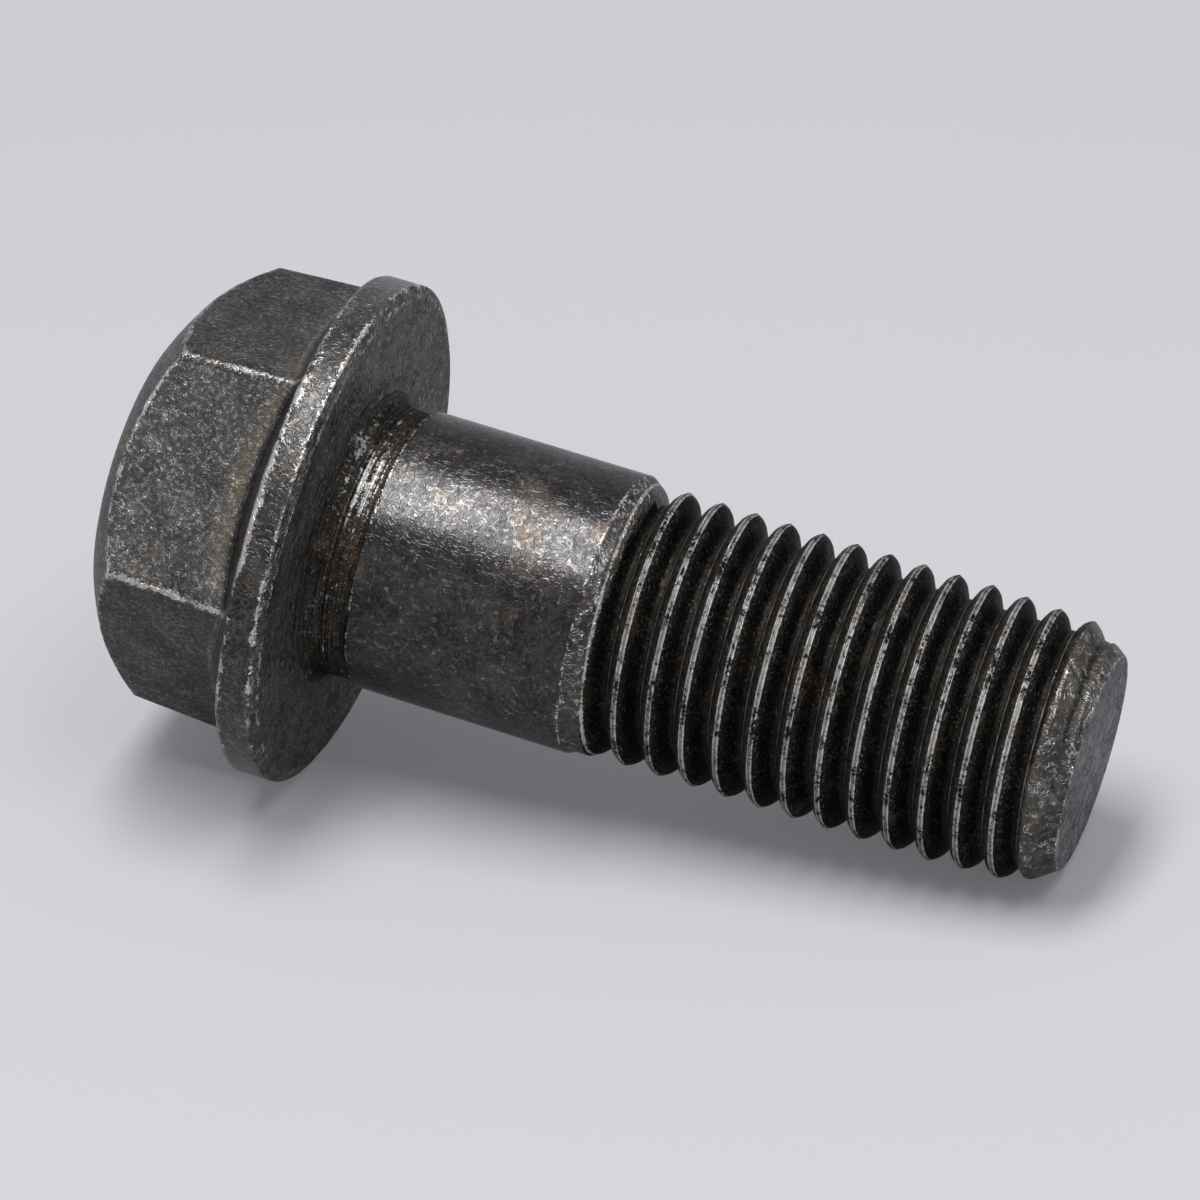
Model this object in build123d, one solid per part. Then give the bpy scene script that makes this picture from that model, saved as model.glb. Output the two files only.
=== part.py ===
from build123d import *
import math
import os

# Flywheel bolt, forged and turned in one piece: a hexagon head on a round flange, an undercut neck,
# a plain fitted shank and a fine right-hand thread.
# Frame: the origin is the centre of the flange's bearing face, and +Z runs along the shank to the tip.
# Millimetres and degrees throughout.

# Thread, ISO metric M12 x 1.5, right-hand
THREAD_D = 11.92  # over the crests, inside the 6g limits of 11.732 to 11.968
THREAD_PITCH = 1.5
THREAD_ANGLE = 60.0  # between the two flanks of a groove
CREST_FLAT = THREAD_PITCH / 8
ROOT_FLAT = THREAD_PITCH / 6
FIRST_CREST = 2.16  # from the shank's end to the first crest, measured where it faces -Y
GROOVE_AZIMUTH = -165.0  # where the groove, coming in from outside the blank, is first at full depth
RUN_OUT_ANGLE = 190.0  # of a turn, over which it comes in
RUN_OUT_STEPS = 10

# Shank and neck
SHANK_D = 12.24  # at least 0.3 more than the neck and the thread, which a fitted hole passes over
SHANK_END = 11.6  # from the bearing face to where the thread's blank begins
SHANK_CHAMFER = 0.3  # length of the small chamfer there
NECK_D = 11.9
NECK_LENGTH = 1.95
NECK_FILLET = 0.8
STEP_CHAMFER = 0.06

# Tip
LENGTH = 33.0  # under the head, to the flat end
TIP_D = 9.3
TIP_CHAMFER_LENGTH = 1.6
LEAD_D = 11.5  # the crests taper to this at the chamfer
LEAD_LENGTH = 4.0

# Flange
FLANGE_D = 22.1
RIM_HEIGHT = 1.4  # of the rim's edge above the bearing bevel
BEVEL_WIDTH = 0.5
BEVEL_HEIGHT = 0.25
FLANGE_SLOPE = 25.0  # of the flange's back, towards the hexagon
RIM_ROUND = 0.3

# Hexagon head, across flats 17, drafted from the die
HEAD_HEIGHT = 9.2  # from the bearing face to the flat top
HEAD_FLATS = 16.7  # across flats at the flat top
HEAD_DRAFT = 3.3
HEAD_CORNER = 0.45
HEAD_TOP_D = 13.0  # flat top, inside the crowned chamfer
CHAMFER_ANGLE = 27.0  # between the flat top and the chamfer where they meet
CHAMFER_CROWN = 16.0  # radius of the chamfer's crowned section
CHAMFER_SWEEP = 30.0  # angle of that section, which ends well outside the hexagon
CHAMFER_OFFSET = 0.4  # the chamfer's axis lies this far from the shank's, towards -Y
HEAD_TOP_ROUND = 0.35
HEAD_OFFSET = 0.33  # the forged hexagon sits this far off the turned axis
FOOT_FILLET = 0.6  # where the hexagon meets the flange's back

THREAD_R = THREAD_D / 2
FLANGE_R = FLANGE_D / 2


def turned_body():
    """Flange, neck, shank and thread blank as one revolved profile."""
    neck_r = NECK_D / 2
    shank_r = SHANK_D / 2
    rim_back = -(BEVEL_HEIGHT + RIM_HEIGHT)
    back_rise = FLANGE_R * math.tan(math.radians(FLANGE_SLOPE))
    lead_start = LENGTH - TIP_CHAMFER_LENGTH - LEAD_LENGTH
    outline = [
        (0, rim_back - back_rise),
        (FLANGE_R, rim_back),
        (FLANGE_R, -BEVEL_HEIGHT),
        (FLANGE_R - BEVEL_WIDTH, 0),
        (neck_r, 0),
        (neck_r, NECK_LENGTH),
        (shank_r - STEP_CHAMFER, NECK_LENGTH),
        (shank_r, NECK_LENGTH + STEP_CHAMFER),
        (shank_r, SHANK_END),
        (THREAD_R, SHANK_END + SHANK_CHAMFER),
        (THREAD_R, lead_start),
        (LEAD_D / 2, LENGTH - TIP_CHAMFER_LENGTH),
        (TIP_D / 2, LENGTH),
        (0, LENGTH),
    ]
    face = make_face(Plane.XZ * Polyline(*outline, close=True))
    neck_corner = face.vertices().sort_by_distance((neck_r, 0, 0))[0]
    face = fillet(neck_corner, NECK_FILLET)
    rim_corner = face.vertices().sort_by_distance((FLANGE_R, 0, rim_back))[0]
    face = fillet(rim_corner, RIM_ROUND)
    return revolve(face, Axis.Z)


def hexagon_head():
    """Drafted hexagon with rounded corners, its top chamfered and rounded by a turned envelope."""
    section = RegularPolygon(HEAD_FLATS / 2, 6, major_radius=False)
    section = fillet(section.vertices(), HEAD_CORNER)
    top = Plane((0, 0, -HEAD_HEIGHT)) * section
    hexagon = Pos(-HEAD_OFFSET, 0, 0) * extrude(top, HEAD_HEIGHT - BEVEL_HEIGHT, taper=-HEAD_DRAFT)
    return hexagon & head_envelope()


def head_envelope():
    """Turned shape that the hexagon stays within: the flat top and the crowned chamfer round it."""
    top_edge = (HEAD_TOP_D / 2, -HEAD_HEIGHT)
    start = (math.cos(math.radians(CHAMFER_ANGLE)), math.sin(math.radians(CHAMFER_ANGLE)))
    chamfer = JernArc(top_edge, start, CHAMFER_CROWN, CHAMFER_SWEEP)
    widest = chamfer @ 1
    rest = Polyline((widest.X, widest.Y), (widest.X, 0), (0, 0), (0, -HEAD_HEIGHT), top_edge)
    face = make_face(Plane.XZ * (chamfer + rest))
    top_corner = face.vertices().sort_by_distance((HEAD_TOP_D / 2, 0, -HEAD_HEIGHT))[0]
    return Pos(0, -CHAMFER_OFFSET, 0) * revolve(fillet(top_corner, HEAD_TOP_ROUND), Axis.Z)


def run_out_curve(radius, height, clearance):
    """Curve along which the groove comes in, from this clearance outside its full depth to the full
    depth itself, at this radius and height."""
    points = []
    for step in range(RUN_OUT_STEPS + 1):
        share = step / RUN_OUT_STEPS
        eased = share * share * (3 - 2 * share)
        before = (1 - share) * RUN_OUT_ANGLE
        angle = math.radians(GROOVE_AZIMUTH - before)
        reach = radius + clearance * (1 - eased)
        level = height - THREAD_PITCH * before / 360
        points.append(Vector(reach * math.cos(angle), reach * math.sin(angle), level))
    climb = THREAD_PITCH / (2 * math.pi)
    tangents = [Vector(-point.Y, point.X, climb) for point in (points[0], points[-1])]
    return Edge.make_spline(points, tangents=[tangent.normalized() for tangent in tangents])


def full_turn(radius, height):
    """One turn of the groove at its full depth, starting at this height."""
    turn = Edge.make_helix(THREAD_PITCH, THREAD_PITCH, radius)
    return Pos(0, 0, height) * Rot(0, 0, GROOVE_AZIMUTH) * turn


def groove_section():
    """Corners of the groove's section, as radius and offset along Z. It stands a little out of the
    blank, but by too little to meet the next turn."""
    slope = math.tan(math.radians(THREAD_ANGLE / 2))
    half_crest = (THREAD_PITCH - CREST_FLAT) / 2
    half_root = ROOT_FLAT / 2
    margin = CREST_FLAT / 2
    outer_r = THREAD_R + margin
    half_outer = half_crest + margin * slope
    root_r = THREAD_R - (half_crest - half_root) / slope
    return [(outer_r, -half_outer), (root_r, -half_root), (root_r, half_root), (outer_r, half_outer)]


def groove_cutter():
    """The thread's groove as a solid: its run-out, then whole turns until it is clear of the tip."""
    corners = groove_section()
    clearance = corners[0][0] - corners[1][0]
    before_crest = THREAD_PITCH / 2 + THREAD_PITCH * (-90 - GROOVE_AZIMUTH) / 360
    start = SHANK_END + FIRST_CREST - before_crest
    stretches = [[run_out_curve(radius, start + offset, clearance) for radius, offset in corners]]
    for turn in range(math.ceil((LENGTH - start) / THREAD_PITCH) + 1):
        height = start + turn * THREAD_PITCH
        stretches.append([full_turn(radius, height + offset) for radius, offset in corners])
    faces = [
        Face(Wire.make_polygon([curve @ 0 for curve in stretches[0]])),
        Face(Wire.make_polygon([curve @ 1 for curve in stretches[-1]])),
    ]
    for curves in stretches:
        for curve, following in zip(curves, curves[1:] + curves[:1]):
            faces.append(Face.make_surface_from_curves(curve, following))
    return Solid(Shell(faces))


def flywheel_bolt():
    """The whole bolt, the hexagon's foot blended into the flange's back."""
    body = turned_body()
    head = hexagon_head()
    blank = body + head
    blank = fillet(new_edges(body, head, combined=blank), FOOT_FILLET)
    return blank - groove_cutter()


os.makedirs("parts", exist_ok=True)
export_step(flywheel_bolt(), "parts/flywheel_bolt.step")
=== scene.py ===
"""Flywheel bolt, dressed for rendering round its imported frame.

The bolt stands on its head, with its axis along +Z and the origin at the centre of the flange's bearing
face. Three closed shells stand for the one forging: the head with its flange, the plain shank with its
neck, and the rolled thread with its tip. Sizes are millimetres until a shell is finished.
"""
import logging
import math
from dataclasses import dataclass
from enum import Enum
from typing import ClassVar, Optional, Sequence, Union

import bmesh
import bpy
import numpy as np
from mathutils import Matrix, Vector, noise


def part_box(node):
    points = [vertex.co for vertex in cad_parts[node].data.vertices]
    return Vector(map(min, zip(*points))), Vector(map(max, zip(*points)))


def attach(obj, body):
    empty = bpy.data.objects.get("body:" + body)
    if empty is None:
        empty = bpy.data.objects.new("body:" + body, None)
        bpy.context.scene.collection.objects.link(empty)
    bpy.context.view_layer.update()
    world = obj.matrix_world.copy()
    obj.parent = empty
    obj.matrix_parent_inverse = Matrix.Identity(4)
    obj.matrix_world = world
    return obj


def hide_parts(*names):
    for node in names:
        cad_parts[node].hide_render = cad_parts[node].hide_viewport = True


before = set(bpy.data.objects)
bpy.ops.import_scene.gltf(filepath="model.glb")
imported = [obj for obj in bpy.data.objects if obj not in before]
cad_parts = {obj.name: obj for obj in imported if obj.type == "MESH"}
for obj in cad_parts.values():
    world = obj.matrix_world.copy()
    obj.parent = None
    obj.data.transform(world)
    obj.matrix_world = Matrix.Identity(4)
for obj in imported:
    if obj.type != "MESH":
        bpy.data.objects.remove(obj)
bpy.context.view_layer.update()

LOG = logging.getLogger("flywheel_bolt")

NODE = "flywheel_bolt"
BODY = "root"
MM = 0.001  # metres
BAKE_MAP = "OFBake"
EDGES, APART = 6, 60  # the hexagon's edges, and the degrees between them
HALF_SIDE = math.pi / 6  # half of a hexagon's side, seen from its middle
STREAK_HIGHLIGHT_AZIMUTH, STREAK_HIGHLIGHT_SPREAD = -112.0, 22.0  # degrees, where the neck's streaks are brightest: a painted highlight where the key light glints

Reach = Union[float, np.ndarray]
Colour = tuple[float, float, float]
Socket = bpy.types.NodeSocket
Inputs = dict[Union[int, str], object]


class Mark(Enum):
    """Vertex attributes that the finishes read."""

    WEAR = "wear"
    STAIN = "stain"
    # painted shade: how far the colour is darkened, in hollows and creases and on faces turned from the
    # light
    PAINTED_SHADE = "painted_shade"


class Side(Enum):
    """Ways round the bolt, as azimuths in degrees."""

    FRONT = -90.0
    SEAM = 90.0


# ---------------------------------------------------------------------------------------------------
# Profiles and shells
# ---------------------------------------------------------------------------------------------------


@dataclass(frozen=True)
class Corner:
    """One corner of a profile, in mm.

    r, z: its place, the same all round or one value for each column.
    reach: how far its rounding reaches along both runs.
    rows: rows over the rounding.
    run: rows on the straight run that follows.
    wear, width: how bright the corner is rubbed, and how far from it.
    """

    r: Reach
    z: Reach
    reach: float = 0.0
    rows: int = 1
    run: int = 0
    wear: Reach = 0.0
    width: float = 0.2


@dataclass
class Traced:
    """A traced profile: arrays of rows by columns, and the first row of each corner."""

    r: np.ndarray
    z: np.ndarray
    wear: np.ndarray
    first: list[int]

    @property
    def rows(self) -> int:
        """Number of rows."""
        return self.r.shape[0]


def unit(vectors: np.ndarray) -> np.ndarray:
    """Vectors of length one, for an array of 2 by columns."""
    return vectors / np.maximum(np.linalg.norm(vectors, axis=0), 1e-9)


def rounded(
    before: np.ndarray, here: np.ndarray, after: np.ndarray, reach: float, rows: int
) -> list[np.ndarray]:
    """Points of a circular rounding at a corner.

    Args:
        before, here, after: three neighbouring corners, each 2 by columns.
        reach: distance from the corner to where the rounding starts and ends.
        rows: number of points.

    Returns:
        The points, each 2 by columns.
    """
    back, on = unit(before - here), unit(after - here)
    start, end = here + back * reach, here + on * reach
    weight = np.sqrt(np.clip((1 - (back * on).sum(0)) / 2, 0.0, 1.0))
    points = []
    for share in np.linspace(0, 1, rows):
        a, b, c = (1 - share) ** 2, 2 * share * (1 - share) * weight, share**2
        points.append((a * start + b * here + c * end) / (a + b + c))
    return points


def trace(corners: Sequence[Corner], columns: int) -> Traced:
    """Follows a profile from corner to corner, with its roundings and the rows between them.

    Args:
        corners: of the profile, in order.
        columns: how many columns the tube has.

    Returns:
        The place and the wear of every row at every column.
    """
    places = [
        np.stack([np.broadcast_to(np.asarray(side, float), columns) for side in (corner.r, corner.z)])
        for corner in corners
    ]
    arcs = []
    for i, corner in enumerate(corners):
        if corner.rows > 1:
            arcs.append(rounded(places[i - 1], places[i], places[i + 1], corner.reach, corner.rows))
        else:
            arcs.append([places[i]])
    points, first = [], []
    for i, corner in enumerate(corners):
        first.append(len(points))
        points += arcs[i]
        if i + 1 < len(corners):
            for j in range(1, corner.run + 1):
                share = j / (corner.run + 1)
                share = 0.5 * share + 0.25 * (1 - math.cos(math.pi * share))
                points.append(arcs[i][-1] * (1 - share) + arcs[i + 1][0] * share)
    grid = np.array(points)
    wear = np.zeros((len(points), columns))
    for place, corner in zip(places, corners):
        if np.any(np.asarray(corner.wear) > 0):
            away = np.hypot(grid[:, 0] - place[0], grid[:, 1] - place[1])
            away = away - away.min(0)
            wear = np.maximum(wear, np.asarray(corner.wear) * falling(away, corner.width))
    return Traced(grid[:, 0], grid[:, 1], wear, first)


class Tube:
    """A tube of rows and columns, spun in bmesh and then pressed to its shape."""

    WEDGES = 16  # one wedge is spun, and then copied round
    GAP = 0.012  # left free round each sector of the map, as a share of the sector
    MERGE, SLIVER = 0.002, 0.001  # mm

    def __init__(self, rows: int, columns: int, rise: int = 0) -> None:
        """Spins the tube.

        Args:
            rows: rows along it.
            columns: columns round it.
            rise: rows that it climbs in one turn, for a helical tube.
        """
        self.rows, self.columns, self.rise = rows, columns, rise
        self.mesh = bmesh.new()
        self.layers = {mark: self.mesh.verts.layers.float.new(mark.value) for mark in Mark}
        self.unrolled = self.mesh.loops.layers.uv.new(BAKE_MAP)
        line = [self.mesh.verts.new((1, 0, row)) for row in range(rows)]
        edges = [self.mesh.edges.new(pair) for pair in zip(line, line[1:])]
        bmesh.ops.spin(
            self.mesh, geom=line + edges, cent=(0, 0, 0), axis=(0, 0, 1), dvec=(0, 0, rise / columns),
            angle=math.tau / self.WEDGES, steps=columns // self.WEDGES,
        )
        wedge = self.mesh.verts[:] + self.mesh.edges[:] + self.mesh.faces[:]
        bmesh.ops.spin(
            self.mesh, geom=wedge, cent=(0, 0, 0), axis=(0, 0, 1), dvec=(0, 0, rise / self.WEDGES),
            angle=math.tau * (1 - 1 / self.WEDGES), steps=self.WEDGES - 1, use_duplicate=True,
        )
        bmesh.ops.remove_doubles(self.mesh, verts=self.mesh.verts, dist=0.01)
        self.places = {}
        for vert in self.mesh.verts:
            column = round(math.atan2(vert.co.y, vert.co.x) % math.tau / math.tau * columns) % columns
            self.places[vert] = (round(vert.co.z - rise * column / columns), column)

    def press(
        self, azimuths: np.ndarray, r: np.ndarray, z: np.ndarray, marks: dict[Mark, np.ndarray]
    ) -> None:
        """Moves every vertex to its place and gives it its marks.

        Args:
            azimuths: of the columns, in radians.
            r, z: rows by columns, in mm.
            marks: rows by columns, for each vertex attribute.
        """
        across, along = np.cos(azimuths), np.sin(azimuths)
        for vert, (row, column) in self.places.items():
            radius = r[row, column]
            vert.co = (radius * across[column], radius * along[column], z[row, column])
            for mark, values in marks.items():
                vert[self.layers[mark]] = float(values[row, column])

    def face_places(self, face: bmesh.types.BMFace) -> list[tuple[int, int]]:
        """Rows and columns of a face's vertices, carried past the seam.

        Args:
            face: of the tube.

        Returns:
            Row and column of each of its vertices.
        """
        places = [self.places[loop.vert] for loop in face.loops]
        if max(column for _, column in places) - min(column for _, column in places) > self.columns / 2:
            places = [
                (row - self.rise, column + self.columns) if column < self.columns / 2 else (row, column)
                for row, column in places
            ]
        return places

    def unroll(self, r: np.ndarray, z: np.ndarray, sectors: int) -> None:
        """Lays the tube out flat as its UV map, in equal sectors side by side.

        Args:
            r, z: of each row of one column, in mm.
            sectors: into how many pieces the turn is cut.
        """
        length = np.concatenate([[0], np.cumsum(np.hypot(np.diff(r), np.diff(z)))])
        share, inner = self.columns / sectors, 1 - 2 * self.GAP
        for face in self.mesh.faces:
            places = self.face_places(face)
            sector = int((sum(column for _, column in places) / len(places)) // share) % sectors
            for loop, (row, column) in zip(face.loops, places):
                across = (column - sector * share) / share
                along = length[min(max(row, 0), self.rows - 1)] / length[-1]
                up = (sector + self.GAP + along * inner) / sectors
                loop[self.unrolled].uv = (self.GAP + across * inner, up)

    def dress(self, starts: Sequence[int]) -> None:
        """Gives the faces their material slots.

        Args:
            starts: the first row of each slot.
        """
        for face in self.mesh.faces:
            row = min(row for row, _ in self.face_places(face))
            face.material_index = sum(row >= start for start in starts) - 1
            face.smooth = True

    def finish(self, name: str, materials: Sequence[bpy.types.Material]) -> bpy.types.Object:
        """Closes the shell, scales it to metres and makes its object.

        Args:
            name: of the piece.
            materials: of its slots.

        Returns:
            The piece's object.
        """
        bmesh.ops.remove_doubles(self.mesh, verts=self.mesh.verts, dist=self.MERGE)
        bmesh.ops.dissolve_degenerate(self.mesh, edges=self.mesh.edges, dist=self.SLIVER)
        bmesh.ops.holes_fill(self.mesh, edges=self.mesh.edges, sides=0)
        bmesh.ops.recalc_face_normals(self.mesh, faces=self.mesh.faces)
        return placed_mesh(name, self.mesh, materials)


def placed(name: str, data: bpy.types.ID) -> bpy.types.Object:
    """A new object in the scene that shows these data.

    Args:
        name: of the object.
        data: a mesh, a lamp or a camera.

    Returns:
        The object.
    """
    made = bpy.data.objects.new(name, data)
    bpy.context.scene.collection.objects.link(made)
    return made


def placed_mesh(
    name: str, mesh: bmesh.types.BMesh, materials: Sequence[bpy.types.Material]
) -> bpy.types.Object:
    """Scales a mesh from mm to metres, frees it and makes its object.

    Args:
        name: of the mesh and the object.
        mesh: the finished bmesh, in mm.
        materials: of its slots.

    Returns:
        The object.
    """
    bmesh.ops.scale(mesh, vec=(MM, MM, MM), verts=mesh.verts)
    data = bpy.data.meshes.new(name)
    mesh.to_mesh(data)
    mesh.free()
    for material in materials:
        data.materials.append(material)
    return placed(name, data)


def waviness(x: np.ndarray, y: np.ndarray, z: np.ndarray, size: float, seed: float) -> np.ndarray:
    """Smooth noise in space.

    Args:
        x, y, z: the points, in mm.
        size: of its lumps, in mm.
        seed: where in the noise the points lie.

    Returns:
        A value between -1 and 1 for each point.
    """
    flat = [
        noise.noise(Vector((a / size + seed, b / size - seed, c / size + 2 * seed)))
        for a, b, c in zip(x.ravel(), y.ravel(), z.ravel())
    ]
    return np.array(flat).reshape(x.shape)


def even_columns(columns: int) -> np.ndarray:
    """Azimuths of evenly spread columns, starting at the seam."""
    return math.radians(Side.SEAM.value) + np.arange(columns) * math.tau / columns


def noise_round(azimuths: np.ndarray, lumps: float, seed: float, shift: float = 0.0) -> np.ndarray:
    """Smooth noise round the turn.

    Args:
        azimuths: in radians.
        lumps: how quickly it changes.
        seed, shift: where in the noise the turn lies.

    Returns:
        A value between -1 and 1 for each azimuth.
    """
    places = [Vector((lumps * math.cos(a) + shift, lumps * math.sin(a), seed)) for a in azimuths]
    return np.array([noise.noise(place) for place in places])


def falling(away: np.ndarray, reach: float) -> np.ndarray:
    """1 at no distance, falling evenly to 0 at the reach."""
    return np.clip(1 - away / reach, 0, 1)


def near(azimuths: np.ndarray, middle: float, spread: float) -> np.ndarray:
    """1 at this azimuth, falling to 0 beyond the spread, in degrees."""
    away = (np.degrees(azimuths) - middle + 180) % 360 - 180
    return np.exp(-((away / spread) ** 2))


def streak_wear_and_highlight(azimuths: np.ndarray) -> np.ndarray:
    """How brightly the neck's streaks are rubbed: evenly all round as real wear, and much more where the
    key light glints on the neck, as a painted highlight.
    """
    return 0.45 + 0.9 * near(azimuths, STREAK_HIGHLIGHT_AZIMUTH, STREAK_HIGHLIGHT_SPREAD)


# ---------------------------------------------------------------------------------------------------
# Shader nodes
# ---------------------------------------------------------------------------------------------------


class Graph:
    """Short calls that add and link the nodes of one tree."""

    def __init__(self, tree: bpy.types.NodeTree) -> None:
        """Keeps the tree."""
        self.tree = tree

    def node(self, kind: str, inputs: Optional[Inputs] = None, **settings: object) -> bpy.types.Node:
        """A new node.

        Args:
            kind: its type.
            inputs: a value or a socket for each input, by name or by number.
            settings: its own properties, which are set first.

        Returns:
            The node.
        """
        made = self.tree.nodes.new(kind)
        for name, value in settings.items():
            setattr(made, name, value)
        for key, value in (inputs or {}).items():
            self.put(made.inputs[key], value)
        return made

    def put(self, socket: Socket, value: object) -> None:
        """Links the socket if the value is a socket, and otherwise sets it.

        Args:
            socket: an input.
            value: a socket, a number or a vector, or a colour without its alpha.
        """
        if isinstance(value, bpy.types.NodeSocket):
            self.tree.links.new(value, socket)
        elif isinstance(value, tuple) and len(value) == 3 and socket.type == "RGBA":
            socket.default_value = (*value, 1.0)
        else:
            socket.default_value = value

    def math(self, operation: str, a: object, b: object = 0.0, clamp: bool = False) -> Socket:
        """A Math node's result."""
        return self.node("ShaderNodeMath", {0: a, 1: b}, operation=operation, use_clamp=clamp).outputs[0]

    def plus(self, a: object, b: object) -> Socket:
        """a + b."""
        return self.math("ADD", a, b)

    def minus(self, a: object, b: object) -> Socket:
        """a - b."""
        return self.math("SUBTRACT", a, b)

    def times(self, a: object, b: object) -> Socket:
        """a times b."""
        return self.math("MULTIPLY", a, b)

    def greater(self, a: object, b: object) -> Socket:
        """The greater of a and b."""
        return self.math("MAXIMUM", a, b)

    def swing(self, value: Socket, by: float) -> Socket:
        """How far the value is from one half, times this."""
        return self.times(self.minus(value, 0.5), by)

    def noise(
        self, vector: Socket, size: object, detail: float = 2.0, rough: float = 0.5, bend: float = 0.0
    ) -> Socket:
        """A Noise Texture's value.

        Args:
            vector: where it is read.
            size: of its lumps, in the vector's units.
            detail, rough, bend: the node's Detail, Roughness and Distortion.

        Returns:
            The value, between 0 and 1.
        """
        linked = isinstance(size, bpy.types.NodeSocket)
        scale = self.math("DIVIDE", 1.0, size) if linked else 1.0 / float(size)
        given = {"Vector": vector, "Scale": scale, "Detail": detail, "Roughness": rough}
        given["Distortion"] = bend
        return self.node("ShaderNodeTexNoise", given).outputs["Fac"]

    def step(self, value: object, low: object, high: object) -> Socket:
        """0 below low, 1 above high, and smooth between them."""
        given = {"Value": value, "From Min": low, "From Max": high}
        return self.node("ShaderNodeMapRange", given, interpolation_type="SMOOTHSTEP").outputs["Result"]

    def blend(self, share: object, a: object, b: object, way: str = "MIX") -> Socket:
        """Colour a, turning into colour b, or into what the way makes of both, as share goes to 1."""
        given = {0: share, 6: a, 7: b}
        return self.node("ShaderNodeMix", given, data_type="RGBA", blend_type=way).outputs[2]

    def between(self, share: object, a: object, b: object) -> Socket:
        """Number a, turning into number b as share goes to 1."""
        return self.node("ShaderNodeMix", {0: share, 2: a, 3: b}, data_type="FLOAT").outputs[0]

    def shaders(self, share: object, a: Socket, b: Socket) -> Socket:
        """Shader a, turning into shader b as share goes to 1."""
        return self.node("ShaderNodeMixShader", {0: share, 1: a, 2: b}).outputs[0]

    def mark(self, mark: Mark) -> Socket:
        """A vertex attribute's value."""
        return self.node("ShaderNodeAttribute", attribute_name=mark.value).outputs["Fac"]

    def millimetres(self) -> Socket:
        """Object coordinates, in mm."""
        given = {0: self.node("ShaderNodeTexCoord").outputs["Object"], 1: (1 / MM,) * 3}
        return self.node("ShaderNodeVectorMath", given, operation="MULTIPLY").outputs[0]

    def bump(self, height: Socket, depth: float, over: Optional[Socket] = None) -> Socket:
        """A Bump node's normal.

        Args:
            height: of the surface, where 1 is the full depth.
            depth: in mm.
            over: the normal that it lies on, or none for the surface's own.

        Returns:
            The normal.
        """
        given = {"Strength": 1.0, "Distance": depth * MM, "Height": height}
        if over is not None:
            given["Normal"] = over
        return self.node("ShaderNodeBump", given).outputs["Normal"]

    def group(self, tree: bpy.types.NodeTree, **values: object) -> bpy.types.NodeOutputs:
        """Places a node group with these inputs, and gives its outputs."""
        given = {name.capitalize(): value for name, value in values.items()}
        return self.node("ShaderNodeGroup", given, node_tree=tree).outputs


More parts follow.
